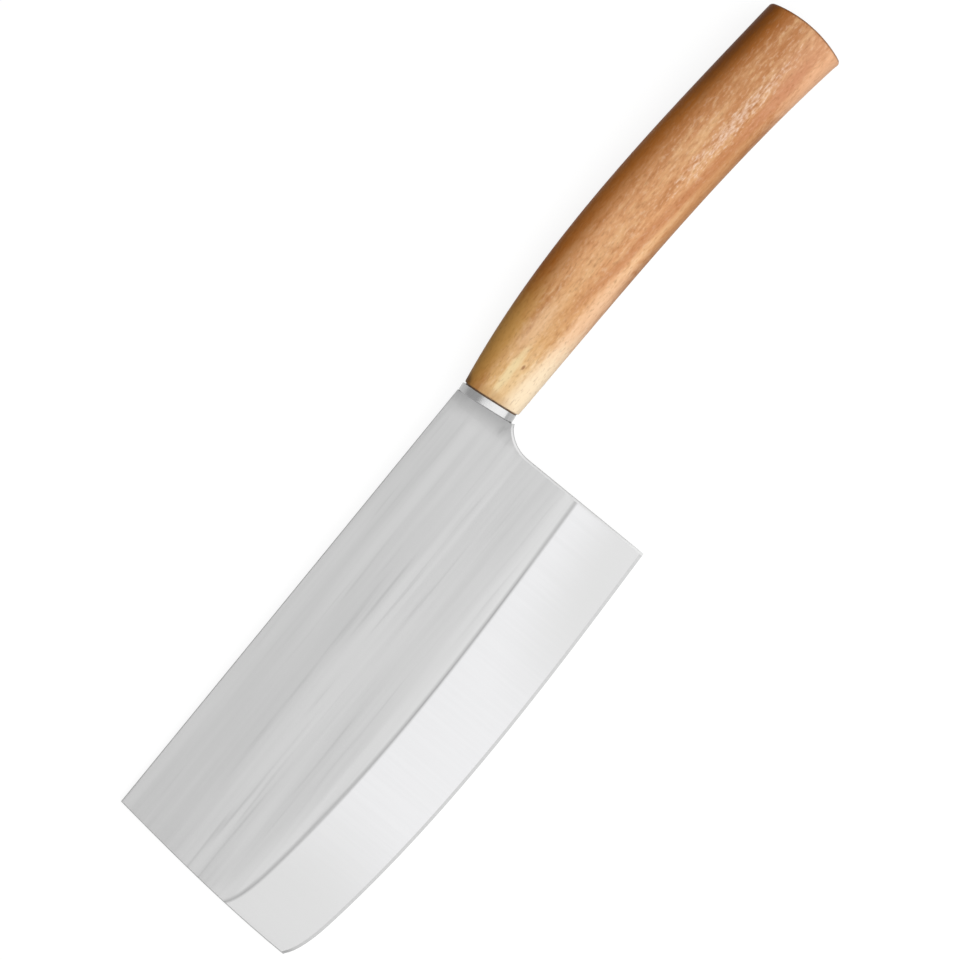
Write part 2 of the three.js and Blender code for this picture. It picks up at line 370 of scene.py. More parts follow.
BLADE_STEELS: dict[Zone, Steel] = {
    # Drawn lengthwise over a satin belt, which leaves soft grey streaks along the spine
    Zone.FLAT: Steel(
        "satin_drawn_stainless_steel",
        "#b6b6b6",
        Gloss(0.38, 0.44),
        layers=(
            (Cloud((600.0, 7.0, 7.0), detail=3.0), Tone("#adadad")),
            # The belt's real scratches are about 0.05 mm wide, too fine to show, so they are drawn wider
            (Cloud((1200.0, 2.2, 2.2)), Tone("#9c9c9c", 0.56, 0.78, 0.45)),
        ),
        # Towards the seam the flat gets a painted highlight, and then painted shade in the soft line
        # itself
        seam=(Tone("#c6c6c6", 8.0, 2.0, 0.32), Tone("#8c8c8c", 1.3, 0.1, 0.62)),
    ),
    # Left between the belt's flat and the wheel's bevel: rounded over and dull, its darker grey a painted
    # shade line
    Zone.SEAM: Steel(
        "grind_seam_stainless_steel",
        "#a2a2a2",
        Gloss(0.38, 0.42),
        layers=((Cloud((50.0, 40.0, 40.0)), Tone("#929292")),),
    ),
    # Ground on a wheel and buffed: even and bright, with painted shade at heel and toe, where the bevel
    # reflects less of the lamp
    Zone.BEVEL: Steel(
        "buffed_bevel_stainless_steel",
        "#b9b9ba",
        EVEN_GLOSS,
        layers=((CROSS_MARKS, Tone("#b7b7b8")),),
        patches=(
            # Painted shade: the bevel darker at heel and toe
            Patch("#aeaeae", 1.0, (0.0, -77.0, 0.0), (75.0, 26.0, 40.0), fray=0.1),
            Patch("#aeaeae", 1.0, (-168.0, -62.0, 0.0), (62.0, 60.0, 40.0), fray=0.1),
        ),
        # Painted shade in the soft seam line above the bevel
        seam=(Tone("#8c8c8c", -1.0, -0.1, 0.62),),
    ),
    # Honed on a stone to a fine even grey
    Zone.HONED: Steel(
        "honed_edge_stainless_steel",
        "#a4a4a4",
        EVEN_GLOSS,
        layers=((CROSS_MARKS, Tone("#a0a0a0")),),
    ),
    # Broken along the outline with a fine belt: a plain, half dull line of light
    Zone.RIM: Steel(
        "eased_rim_stainless_steel",
        "#bababa",
        Gloss(0.4, 0.44),
        layers=((CROSS_MARKS, Tone("#b6b6b6")),),
    ),
}

# Polished on a cloth wheel: bright, with faint marks along the knife, drawn wide enough to show
COLLAR_STEEL = Steel(
    "polished_stainless_steel",
    "#b3b3b3",
    Gloss(0.2, 0.26),
    layers=((Cloud((20.0, 1.2, 1.2)), Tone("#afafaf")),),
)


@dataclass(frozen=True)
class OiledBeech:
    """Steamed beech, shaped and sanded along the grain, with a thin satin oil finish.

    The oil gives it a warm orange-brown with a soft sheen, partly a painted highlight on the crown, and
    the short pores give fine flecks along the grain. Painted shade darkens the spine and the belly's rim.
    """

    name: str = "oiled_steamed_beech"
    front: str = "#e4b87c"
    middle: str = "#dea474"
    butt: str = "#c2875a"
    middle_at: float = 0.4  # where the middle's colour is reached, as a share of the handle's length
    butt_from: float = 0.35  # where the butt's colour sets in
    heart: str = "#b6784a"
    pale: str = "#efc594"
    contrast: float = 0.25  # how far from a pattern's middle the heart and the pale wood are full
    band: Cloud = Cloud((130.0, 5.0, 5.0), detail=3.0)
    band_strength: float = 0.66
    figure: Cloud = Cloud((20.0, 2.6, 2.6))
    figure_strength: float = 0.44
    mottle: Cloud = Cloud((3.4, 1.2, 1.2))
    mottle_strength: float = 0.42
    # The real pores are about 0.1 mm wide and 1 mm long, too fine to show, so they are drawn larger
    pores: Cloud = Cloud((2.0, 0.7, 0.7))
    pore: Tone = Tone("#8a5430", 0.52, 0.76, 0.28)
    fleck: Tone = Tone("#f6d8b8", 0.48, 0.28, 0.28)
    pore_depth: float = 0.03
    pore_relief: float = 0.4
    # Painted shade at the spine and along the belly's rim, by the height in a slice; at the spine it is
    # partly the wood's own deeper orange-brown. On the butt, by how it faces: darker end grain, and
    # painted shade on its rounded edge
    spine: Tone = Tone("#a45c0c", 0.22, 0.82, 0.85)
    rim: Tone = Tone("#8a5228", -0.78, -1.0, 0.68)
    end_grain_and_edge_shade: Tone = Tone("#7a4a28", 0.25, 0.85, 0.7)
    # Painted highlight: pale flecks of sheen on the crown towards the butt
    sheen: Patch = Patch("#fbe6d4", 0.42, (116.0, -14.0, 16.0), (38.0, 3.6, 10.0), turn=-3.0, fray=1.6)
    gloss: Gloss = Gloss(0.4, 0.52)
    specular: float = 0.05
    patches: tuple[Patch, ...] = (
        # Along the spine, more painted shade: deeper towards the butt, lighter and yellower at the front
        Patch("#5a2f12", 0.65, (152.0, 3.0, 0.0), (52.0, 9.0, 30.0)),
        Patch("#d0a25a", 0.6, (20.0, 0.5, 0.0), (34.0, 7.0, 30.0)),
        # Across the side and the belly: sapwood at the front, browner past the middle, pale at the butt,
        # with a painted highlight along the front of the belly
        Patch("#f4d4a4", 0.6, (13.0, -11.5, 0.0), (18.0, 6.0, 30.0)),
        # Painted highlight along the front of the belly
        Patch("#f2c8a4", 0.7, (36.0, -17.5, 0.0), (46.0, 4.4, 30.0)),
        Patch("#c48c5c", 0.6, (98.0, -20.5, 0.0), (34.0, 4.5, 30.0)),
        Patch("#eec6a0", 0.45, (33.0, -7.0, 0.0), (18.0, 4.0, 30.0)),
        # Painted highlight, strongest at the front of the belly
        Patch("#fbe8c8", 0.85, (12.0, -17.2, 0.0), (34.0, 6.2, 30.0), turn=-2.0),
        Patch("#e6b08c", 0.4, (147.0, -19.0, 0.0), (26.0, 9.0, 30.0)),
        Patch("#f0bc94", 0.75, (142.0, -26.0, 0.0), (36.0, 6.5, 30.0)),
        # Two reddish streaks, a cream one and a small knot beside it
        Patch("#b26c44", 0.42, (80.0, -15.6, 9.0), (62.0, 2.2, 6.0), turn=-5.0, fray=1.0),
        Patch("#c48260", 0.5, (134.0, -19.6, 9.0), (24.0, 2.6, 8.0), turn=-3.0),
        Patch("#f6dfae", 0.8, (18.0, -8.9, 7.6), (12.5, 1.9, 4.0), turn=1.6),
        Patch("#8e5230", 0.7, (21.0, -11.4, 7.6), (1.2, 0.6, 3.0)),
        # At the collar: browner wood along its front, and painted shade in the corner at the spine, where
        # wood and collar meet
        Patch("#b88a58", 0.4, (8.0, -9.0, 0.0), (2.8, 10.0, 30.0), turn=7.0),
        Patch("#4a2e14", 0.7, (6.8, -0.2, 1.5), (3.6, 3.0, 8.0)),
    )

    def grain(self, tree: bpy.types.NodeTree, mottle: bpy.types.NodeSocket) -> bpy.types.NodeSocket:
        """Adds the wood's colour from front to butt, with its figure.

        Args:
            tree: The material's tree.
            mottle: The finest pattern of the figure.

        Returns:
            The colour.
        """
        place = add_node(tree, "ShaderNodeTexCoord", give="Object")
        along = add_node(tree, "ShaderNodeSeparateXYZ", {"Vector": place}, give="X")
        front_x, butt_x = (corner.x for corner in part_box("handle"))
        middle_x = lerp(front_x, butt_x, self.middle_at)
        tint = Tone(self.middle, front_x, middle_x).over(tree, linear(self.front), along)
        tint = Tone(self.butt, lerp(front_x, butt_x, self.butt_from), butt_x).over(tree, tint, along)
        layers = (
            (self.band.add(tree), self.band_strength),
            (self.figure.add(tree), self.figure_strength),
            (mottle, self.mottle_strength),
        )
        for pattern, strength in layers:
            for colour, reach in ((self.heart, self.contrast), (self.pale, -self.contrast)):
                tone = Tone(colour, CLOUD_MIDDLE, CLOUD_MIDDLE + reach, strength)
                tint = tone.over(tree, tint, pattern)
        return tint

    def make(self, lay: Matrix) -> bpy.types.Material:
        """Makes the material.

        Args:
            lay: The matrix from the drawing to the frame.

        Returns:
            The material.
        """
        material, tree, surface = start_material(self.name)
        mottle = self.mottle.add(tree)
        pores = self.pores.add(tree)
        tint = self.fleck.over(tree, self.grain(tree, mottle), pores)
        toward_spine = add_node(tree, "ShaderNodeAttribute", give="Fac", attribute_name=TOWARD_SPINE)
        # Painted shade at the spine and the belly's rim, at the spine partly the wood's own deeper colour
        for tone in (self.spine, self.rim):
            tint = tone.over(tree, tint, toward_spine)
        # Grain patches, with painted shade along the spine and painted highlight along the front of the
        # belly
        for patch in self.patches:
            tint = patch.over(tree, tint, mottle, lay)
        # Painted highlight: pale sheen flecks on the crown
        tint = self.sheen.over(tree, tint, pores, lay)
        # Darker end grain, with painted shade on the butt's rounded edge
        facing = add_node(tree, "ShaderNodeTexCoord", give="Normal")
        facing_butt = add_node(tree, "ShaderNodeSeparateXYZ", {"Vector": facing}, give="X")
        tint = self.end_grain_and_edge_shade.over(tree, tint, facing_butt)
        tint = self.pore.over(tree, tint, pores)
        relief = {"Height": pores, "Strength": self.pore_relief, "Distance": self.pore_depth * MM}
        tree.links.new(tint, surface.inputs["Base Color"])
        tree.links.new(self.gloss.add(tree, mottle), surface.inputs["Roughness"])
        tree.links.new(add_node(tree, "ShaderNodeBump", relief, invert=True), surface.inputs["Normal"])
        surface.inputs["Specular IOR Level"].default_value = self.specular
        return material


@dataclass(frozen=True)
class CuredResin:
    """Dark epoxy that squeezed out and cured in the joint: brown, cloudy and half dull."""

    name: str = "cured_epoxy_resin"
    colour: str = "#6e5034"
    shade: Tone = Tone("#56402a")
    cloud: Cloud = Cloud((1.5, 1.5, 1.5))
    roughness: float = 0.5

    def make(self) -> bpy.types.Material:
        """Makes the material.

        Returns:
            The material.
        """
        material, tree, surface = start_material(self.name)
        tint = self.shade.over(tree, linear(self.colour), self.cloud.add(tree))
        tree.links.new(tint, surface.inputs["Base Color"])
        surface.inputs["Roughness"].default_value = self.roughness
        return material


@dataclass(frozen=True)
class Lay:
    """How the drawing lies in the frame: turned onto its side and set down on the floor."""

    mount: str = "upper_blade_face"
    mount_point: tuple[float, float, float] = (-80.0, -25.0, 1.1)  # the mount's place in the drawing

    def matrix(self) -> Matrix:
        """Works out the turn and the place from the blade's upper face.

        Returns:
            The matrix that takes a point of the drawing to the frame.
        """
        face = next(m for m in frame["record"]["mounts"] if m["name"] == self.mount)
        normal = Vector(face["axis"]).normalized()
        along = Vector((normal.z, 0.0, -normal.x))
        up = Vector((0.0, 1.0, 0.0))
        turn = Matrix((along, up, normal)).transposed().to_4x4() @ Matrix.Scale(MM, 4)
        shift = Vector(face["pos_m"]) - turn @ Vector(self.mount_point)
        return Matrix.Translation(shift) @ turn


class Bench:
    """Runs of modelling operators that more than one piece needs."""

    @staticmethod
    def clear() -> None:
        """Goes to object mode with nothing selected."""
        if bpy.context.object and bpy.context.object.mode != "OBJECT":
            bpy.ops.object.mode_set(mode="OBJECT")
        bpy.ops.object.select_all(action="DESELECT")

    @staticmethod
    def named(name: str) -> bpy.types.Object:
        """Names what was just added.

        Args:
            name: The name for the object and its data.

        Returns:
            The object.
        """
        added = bpy.context.object
        added.name = added.data.name = name
        return added

    @staticmethod
    def apply(piece: bpy.types.Object, kind: str, **settings: Any) -> None:
        """Adds a modifier and applies it.

        Args:
            piece: The active piece, in object mode.
            kind: The modifier's type.
            **settings: Its options.
        """
        modifier = piece.modifiers.new(kind.lower(), kind)
        for option, value in settings.items():
            setattr(modifier, option, value)
        bpy.ops.object.modifier_apply(modifier=modifier.name)

    @staticmethod
    def select(piece: bpy.types.Object, wanted: Callable[[bmesh.types.BMEdge], bool]) -> None:
        """Selects the edges that a test picks, and nothing else.

        Args:
            piece: A mesh in edit mode.
            wanted: The test for an edge.
        """
        bpy.ops.mesh.select_mode(type="EDGE")
        bpy.ops.mesh.select_all(action="DESELECT")
        mesh = bmesh.from_edit_mesh(piece.data)
        for edge in filter(wanted, mesh.edges):
            edge.select_set(True)
        bmesh.update_edit_mesh(piece.data)

    @staticmethod
    def move_selected(piece: bpy.types.Object, place: Callable[[Vector], Vector]) -> None:
        """Moves each selected point.

        Args:
            piece: A mesh in edit mode.
            place: Gives the new place for a point.
        """
        mesh = bmesh.from_edit_mesh(piece.data)
        for vert in mesh.verts:
            if vert.select:
                vert.co = place(vert.co.copy())
        bmesh.update_edit_mesh(piece.data)

    @staticmethod
    def store(piece: bpy.types.Object, name: str, value: Callable[[Vector], float]) -> None:
        """Stores a value for each point, as an attribute that a material reads.

        Args:
            piece: A mesh in edit mode.
            name: The attribute's name.
            value: Gives the value for a point.
        """
        mesh = bmesh.from_edit_mesh(piece.data)
        layer = mesh.verts.layers.float.new(name)
        for vert in mesh.verts:
            vert[layer] = value(vert.co)
        bmesh.update_edit_mesh(piece.data)

    @staticmethod
    def finish(piece: bpy.types.Object, lay: Matrix, smooth_angle: float) -> None:
        """Closes a piece, shades it and lays it down in the frame.

        Args:
            piece: The drawn piece, in edit mode.
            lay: The matrix from the drawing to the frame.
            smooth_angle: The largest angle in degrees that is shaded as one surface.
        """
        bpy.ops.mesh.select_all(action="SELECT")
        bpy.ops.mesh.remove_doubles(threshold=TOUCH)
        bpy.ops.mesh.normals_make_consistent(inside=False)
        bpy.ops.object.mode_set(mode="OBJECT")
        bpy.ops.object.shade_smooth_by_angle(angle=math.radians(smooth_angle))
        piece.matrix_world = lay
        bpy.ops.object.transform_apply(location=True, rotation=True, scale=True)
        bpy.ops.object.select_all(action="DESELECT")


@dataclass(frozen=True)
class Section:
    """An oval slice of the handle or the collar. Its rake is in radians."""

    x: float
    y: float
    rake: float
    half_depth: float
    half_thickness: float

    @property
    def centre(self) -> Vector:
        """The slice's middle."""
        return Vector((self.x, self.y, 0.0))

    @property
    def axis(self) -> Vector:
        """The way that the slice faces, towards the butt."""
        return Vector((math.cos(self.rake), math.sin(self.rake), 0.0))

    @property
    def up(self) -> Vector:
        """The way across the slice, towards the spine."""
        return Vector((-math.sin(self.rake), math.cos(self.rake), 0.0))

    def drawn_in(self, inset: float, push: float) -> "Section":
        """Draws the slice in from its outline and pushes it along its axis.

        Args:
            inset: How far its outline moves in.
            push: How far it moves towards the butt.

        Returns:
            The new slice.
        """
        middle = self.centre + push * self.axis
        depth, thickness = self.half_depth - inset, self.half_thickness - inset
        return Section(middle.x, middle.y, self.rake, depth, thickness)

    def shrunk(self, share: float) -> "Section":
        """Returns the slice scaled about its middle."""
        depth, thickness = self.half_depth * share, self.half_thickness * share
        return replace(self, half_depth=depth, half_thickness=thickness)


def rounded(section: Section, radius: float, steps: int, front: bool) -> list[Section]:
    """Returns the slices of a rounded rim.

    Args:
        section: The slice at the rim, at full size.
        radius: The radius of the rounding.
        steps: The number of steps in the rounding.
        front: Whether the rim faces forwards, towards the blade.

    Returns:
        The slices from front to back.
    """
    slices = []
    for share in shares(steps):
        turn = share * QUARTER_TURN
        inset = radius * (1 - (math.sin(turn) if front else math.cos(turn)))
        push = radius * ((1 - math.cos(turn)) if front else (math.sin(turn) - 1))
        slices.append(section.drawn_in(inset, push))
    return slices


def loft(name: str, sections: list[Section], sides: int, power: float) -> bpy.types.Object:
    """Draws a squared oval and extrudes it through slices into a closed body.

    Args:
        name: The piece's name.
        sections: The slices from front to back.
        sides: The number of points round the oval.
        power: The oval's squareness: 2 is an ellipse.

    Returns:
        The piece, in edit mode.
    """
    Bench.clear()
    bpy.ops.mesh.primitive_circle_add(vertices=sides, radius=1.0, fill_type="NGON")
    piece = Bench.named(name)
    bpy.ops.object.mode_set(mode="EDIT")
    bpy.ops.mesh.select_all(action="SELECT")

    def squared(point: Vector) -> Vector:
        """Stands a point of the circle up and squares the circle."""
        rise, side = (math.copysign(abs(value) ** (2 / power), value) for value in (point.x, point.y))
        return Vector((0.0, rise, side))

    Bench.move_selected(piece, squared)
    unit = Section(0.0, 0.0, 0.0, 1.0, 1.0)
    for before, after in pairwise([unit, *sections]):
        step = {"value": after.centre - before.centre}
        if before is unit:
            bpy.ops.transform.translate(**step)
        else:
            bpy.ops.mesh.extrude_region_move(TRANSFORM_OT_translate=step)
        # Without a window the operator turns the other way, so the turn is from after to before
        turn = before.rake - after.rake
        bpy.ops.transform.rotate(value=turn, orient_axis="Z", center_override=after.centre)
        deeper = after.half_depth / before.half_depth
        thicker = after.half_thickness / before.half_thickness
        bpy.ops.transform.resize(value=(deeper, deeper, thicker), center_override=after.centre)
    return piece


def cut_slot(piece: bpy.types.Object, low: Vector, high: Vector) -> None:
    """Cuts a square slot out of a body.

    Args:
        piece: The body, in edit mode. It is left in edit mode.
        low: The slot's lowest corner.
        high: The slot's highest corner.
    """
    bpy.ops.mesh.select_all(action="SELECT")
    bpy.ops.mesh.normals_make_consistent(inside=False)
    Bench.clear()
    bpy.ops.mesh.primitive_cube_add(size=1.0, location=(low + high) / 2, scale=high - low)
    cutter = Bench.named("slot_cutter")
    Bench.clear()
    piece.select_set(True)
    bpy.context.view_layer.objects.active = piece
    Bench.apply(piece, "BOOLEAN", operation="DIFFERENCE", solver="EXACT", object=cutter)
    bpy.data.objects.remove(cutter)
    bpy.ops.object.mode_set(mode="EDIT")


@dataclass(frozen=True)
class Grip:
    """Where the handle takes the blade, and what lies there along the handle's axis."""

    neck_length: float = 4.0
    depth: float = 10.2  # how far the handle's axis lies below the spine at the blade's shoulder
    rake: float = 7.0  # how far the handle's axis rises, in degrees
    front_depth: float = 19.4
    front_thickness: float = 15.0
    collar_length: float = 2.7
    collar_inset: float = 0.5
    collar_spine_step: float = 0.2
    glue_line: float = 0.4
    seat_gap: float = 0.15

    @property
    def collar_start(self) -> float:
        """The collar's front, from the blade's shoulder."""
        return self.seat_gap

    @property
    def collar_end(self) -> float:
        """The collar's back, pressed home on the glue line, from the blade's shoulder."""
        return 2 * self.seat_gap + self.collar_length - TOUCH

    @property
    def wood_start(self) -> float:
        """The wood's front, from the blade's shoulder."""
        return 3 * self.seat_gap + self.collar_length + self.glue_line

    def section(self, along: float) -> Section:
        """Returns the wood's front outline, moved along the handle's axis.

        Args:
            along: Its distance from the blade's shoulder.

        Returns:
            The slice there.
        """
        half_depth, half_thickness = self.front_depth / 2, self.front_thickness / 2
        rake = math.radians(self.rake)
        start = Section(self.neck_length, -self.depth, rake, half_depth, half_thickness)
        return start.drawn_in(0.0, along)

    def collar_section(self) -> Section:
        """Works out the collar's front.

        Returns:
            A slice that is level with the spine above, and inside the wood's outline elsewhere.
        """
        seat = self.section(self.collar_start).drawn_in(self.collar_inset, 0.0)
        top = self.depth / math.cos(seat.rake) - self.collar_spine_step
        middle = seat.centre + seat.up * (top - seat.half_depth) / 2
        return Section(middle.x, middle.y, seat.rake, (top + seat.half_depth) / 2, seat.half_thickness)

    def from_shoulder(self, point: Vector) -> float:
        """Returns how far a point lies along the handle's axis from the blade's shoulder."""
        seat = self.section(0.0)
        return (point.to_3d() - seat.centre).dot(seat.axis)

    def on_rake(self, along: float, y: float) -> Vector:
        """Finds a point of a line that crosses the handle's axis squarely.

        Args:
            along: The line's distance from the blade's shoulder.
            y: The point's height.

        Returns:
            The point.
        """
        rake = math.radians(self.rake)
        rise = (y + self.depth) * math.sin(rake)
        return Vector((self.neck_length + (along - rise) / math.cos(rake), y))


@dataclass(frozen=True)
class Blade:
    """The blade with its neck and tang, one piece of sheet steel ground on both faces.

    A column runs from spine to edge and lies at a share of the way from heel to front. On the neck it lies
    at a share of the way from heel to collar.
    """

    grip: Grip
    length: float = 165.0
    thickness: float = 2.2
    heel_depth: float = 75.9
    toe_start_depth: float = 73.5
    toe_depth: float = 67.9
    toe_run: float = 16.5
    toe_fullness: float = 0.78  # where the toe's curve bends, as a share of its run
    edge_drop: float = 2.6  # the edge's slope at the heel, in degrees
    edge_rise: float = 8.0  # its slope where the toe starts, in degrees
    spine_setback: float = 4.8
    front_bend_depth: float = 42.0
    bevel_heel: float = 26.0
    bevel_toe: float = 24.6
    seam_width: float = 0.5
    honed_width: float = 1.0
    honed_thickness: float = 0.5
    edge_thickness: float = 0.1
    outline_ease: float = 0.3
    heel_ease: float = 0.8
    neck_depth: float = 20.2
    neck_sweep: float = 8.5
    neck_swell: float = 2.1
    neck_curve: float = 1.6  # the power of the neck's rise to the collar: 1 is straight
    notch_radius: float = 12.0
    tang_length: float = 94.65
    tang_root: float = 10.0
    tang_end: float = 7.0
    belly_columns: int = 88
    toe_columns: int = 12
    neck_columns: int = 10
    lower_neck_rows: int = 3
    lower_rows: int = 4
    bevel_rows: int = 4
    ease_steps: int = 3
    smooth_angle: float = 40.0

    def edge_y(self, x: float) -> float:
        """Finds the cutting edge's height: a shallow belly, then a short sweep up to the toe.

        Args:
            x: The place along the blade.

        Returns:
            The height there.
        """
        sweep_x = self.toe_run - self.length
        if x >= sweep_x:
            heel = Vector((0.0, -self.heel_depth))
            turn = Vector((sweep_x, -self.toe_start_depth))
            return sweep(heel, turn, self.edge_drop, -self.edge_rise, x / sweep_x).y
        bend_run = self.toe_run * self.toe_fullness
        share = arch_share(sweep_x, sweep_x - bend_run, -self.length, x)
        bend_y = bend_run * slope(self.edge_rise) - self.toe_start_depth
        return arch(-self.toe_start_depth, bend_y, -self.toe_depth, share)

    def front_x(self, y: float) -> float:
        """Returns the front's place at height y: it leans forward from the spine and turns upright."""
        share = arch_share(0.0, -self.front_bend_depth, -self.toe_depth, y)
        return arch(self.spine_setback - self.length, -self.length, -self.length, share)

    def bevel(self, x: float) -> float:
        """Returns the bevel's width at x."""
        return lerp(self.bevel_heel, self.bevel_toe, -x / self.length)

    def seam_top(self, x: float) -> float:
        """Returns how far above the edge the flat ends at x."""
        return self.bevel(x) + self.seam_width / 2

    def above_seam(self, point: Vector) -> float:
        """Returns how far a point lies above the middle of the grind seam."""
        return point.y - self.edge_y(point.x) - self.bevel(point.x)

    def bevel_line(self, share: float, x: float) -> float:
        """Returns a bevel line's height above the edge at x, from its seam at 0 to its honed line at 1."""
        return lerp(self.bevel(x) - self.seam_width / 2, self.honed_width, share)

    def across(self, share: float, y: float) -> Vector:
        """Returns a column's point at height y."""
        return Vector((lerp(-self.heel_ease, self.front_x(y) + self.outline_ease, share), y))

    def above_edge(self, share: float, rise: Callable[[float], float]) -> Vector:
        """Finds where a column crosses a line that runs along the edge.

        Args:
            share: The column.
            rise: The line's distance above the edge at x.

        Returns:
            The crossing point.
        """
        point = Vector((-self.length * share, 0.0))
        for _ in range(CROSSING_ROUNDS):
            point = self.across(share, self.edge_y(point.x) + rise(point.x))
        return point

    def half_thickness(self, point: Vector) -> float:
        """Works out half the blade's thickness.

        Args:
            point: A point of its face.

        Returns:
            Half the thickness there.
        """
        bevel = self.bevel(point.x)
        rise = point.y - self.edge_y(point.x)
        if rise >= bevel:
            return self.thickness / 2 + self.neck_rise(point)
        if rise >= self.honed_width:
            share = (rise - self.honed_width) / (bevel - self.honed_width)
            return lerp(self.honed_thickness, self.thickness, share) / 2
        share = max(rise, 0.0) / self.honed_width
        return lerp(self.edge_thickness, self.honed_thickness, share) / 2

    def neck_rise(self, point: Vector) -> float:
        """Returns how far each face has risen at a point of the neck, on its way up to the collar."""
        before_collar = self.grip.collar_start - self.grip.from_shoulder(point)
        return self.neck_swell * clamp(1 - before_collar / self.neck_sweep) ** self.neck_curve

    @property
    def notch_turn(self) -> float:
        """How far the round notch turns from the heel line to the neck."""
        neck_corner = self.grip.on_rake(self.grip.collar_start, -self.neck_depth)
        return math.acos(max(0.0, 1 - neck_corner.x / self.notch_radius))

    @property
    def notch_y(self) -> float:
        """The height at which the heel line turns into the round notch."""
        return -self.neck_depth - self.notch_radius * math.sin(self.notch_turn)

    def neck_ends(self, share: float) -> tuple[Vector, Vector]:
        """Finds the ends of a neck column.

        Args:
            share: The column.

        Returns:
            Its upper and its lower end.
        """
        radius = self.notch_radius + self.heel_ease
        turn = self.notch_turn * share
        collar = self.grip.on_rake(self.grip.collar_start, -self.outline_ease)
        upper = Vector((lerp(-self.heel_ease, collar.x, share), collar.y))
        lower_x = self.notch_radius - radius * math.cos(turn)
        lower = Vector((lower_x, self.notch_y + radius * math.sin(turn)))
        return upper, lower

    def neck_rows(self) -> list[float]:
        """Spaces the neck's rows, with one along each side of the tang.

        Returns:
            The rows as shares of the neck's depth.
        """
        upper, lower = (end.y for end in self.neck_ends(1.0))
        half = self.tang_root / 2
        first, last = ((side - self.grip.depth - upper) / (lower - upper) for side in (half, -half))
        below = (lerp(last, 1.0, row) for row in shares(self.lower_neck_rows))
        return [0.0, first / 2, first, (first + last) / 2, *below]

    def column(self, share: float) -> list[Vector]:
        """Works out a column.

        Args:
            share: The column.

        Returns:
            Its points from spine to edge.
        """
        top = -self.outline_ease
        neck = (self.notch_y - top) / (self.above_edge(0.0, self.seam_top).y - top)
        flat = [neck * row for row in self.neck_rows()]
        flat += [lerp(neck, 1.0, row) for row in shares(self.lower_rows)[1:]]
        seam_y = self.above_edge(share, self.seam_top).y
        points = [self.across(share, lerp(top, seam_y, row)) for row in flat]
        lines = [partial(self.bevel_line, row) for row in shares(self.bevel_rows)]
        points += [self.above_edge(share, line) for line in (*lines, lambda x: 0.0)]
        return points

    def zone(self, row: int, rows: int) -> Zone:
        """Tells which ground part a row of faces lies in.

        Args:
            row: The row, counted from the spine.
            rows: The number of rows.

        Returns:
            The ground part.
        """
        from_edge = rows - row
        if from_edge == 1:
            return Zone.HONED
        if from_edge <= 1 + self.bevel_rows:
            return Zone.BEVEL
        if from_edge == 2 + self.bevel_rows:
            return Zone.SEAM
        return Zone.FLAT

    def draw_face(self) -> bpy.types.Object:
        """Draws the upper face from heel to front on a grid, with its ground parts.

        Returns:
            The face, in edit mode.
        """
        turn = 1 - self.toe_run / self.length
        columns = [turn * share for share in shares(self.belly_columns)]
        columns += [lerp(turn, 1.0, share) for share in shares(self.toe_columns)[1:]]
        points = [self.column(share) for share in columns]
        last_column, last_row = len(columns) - 1, len(points[0]) - 1
        Bench.clear()
        bpy.ops.mesh.primitive_grid_add(x_subdivisions=last_column, y_subdivisions=last_row, size=1.0)
        face = Bench.named("ground_blade")
        bpy.ops.object.mode_set(mode="EDIT")
        bpy.ops.mesh.select_all(action="SELECT")
        mesh = bmesh.from_edit_mesh(face.data)
        for quad in mesh.faces:
            row = int((GRID_HALF - quad.calc_center_median().y) * last_row)
            quad.material_index = self.zone(row, last_row)

        def placed(spot: Vector) -> Vector:
            """Returns the blade's point for a point of the grid.

            Args:
                spot: The point of the grid.

            Returns:
                The point of the blade.
            """
            column = round((GRID_HALF - spot.x) * last_column)
            row = round((GRID_HALF - spot.y) * last_row)
            flat = points[column][row]
            return Vector((flat.x, flat.y, self.half_thickness(flat)))

        Bench.move_selected(face, placed)
        return face

    def on_neck(self, before: float, after: float, spot: Vector) -> Vector:
        """Moves a point of the neck on from one column to the next.

        Args:
            before: The column that the point lies on.
            after: The column that it goes to.
            spot: The point.

        Returns:
            The point's place on its row of the next column. The last column lies along the collar.
        """
        upper, lower = (end.y for end in self.neck_ends(before))
        row = (spot.y - upper) / (lower - upper)
        ends = self.neck_ends(after)
        flat = ends[0].lerp(ends[1], row)
        if after == 1.0:
            flat = self.grip.on_rake(self.grip.collar_start, flat.y)
        return Vector((flat.x, flat.y, self.half_thickness(flat)))

    def draw_neck(self, face: bpy.types.Object) -> None:
        """Extrudes the neck from the heel line to the collar, and the tang from the neck.

        Args:
            face: The upper face, in edit mode.
        """

        def on_heel(edge: bmesh.types.BMEdge) -> bool:
            """Tells whether an edge lies on the heel line, above the round notch."""
            ends = [v.co for v in edge.verts]
            return all(abs(p.x + self.heel_ease) < TOUCH and p.y > self.notch_y - TOUCH for p in ends)

        def at_tang(edge: bmesh.types.BMEdge) -> bool:
            """Tells whether an edge lies across the tang's root, along the collar."""
            half = self.tang_root / 2 + TOUCH
            return self.on_collar(edge) and all(abs(v.co.y + self.grip.depth) < half for v in edge.verts)

        def to_root(spot: Vector) -> Vector:
            """Returns the place on the tang's root for a point of the swollen neck."""
            return Vector((spot.x, spot.y, self.thickness / 2))

        def to_end(spot: Vector) -> Vector:
            """Returns the place at the tang's end for a point of its root."""
            rise = (spot.y + self.grip.depth) * self.tang_end / self.tang_root
            return Vector((self.grip.neck_length + self.tang_length, rise - self.grip.depth, spot.z))

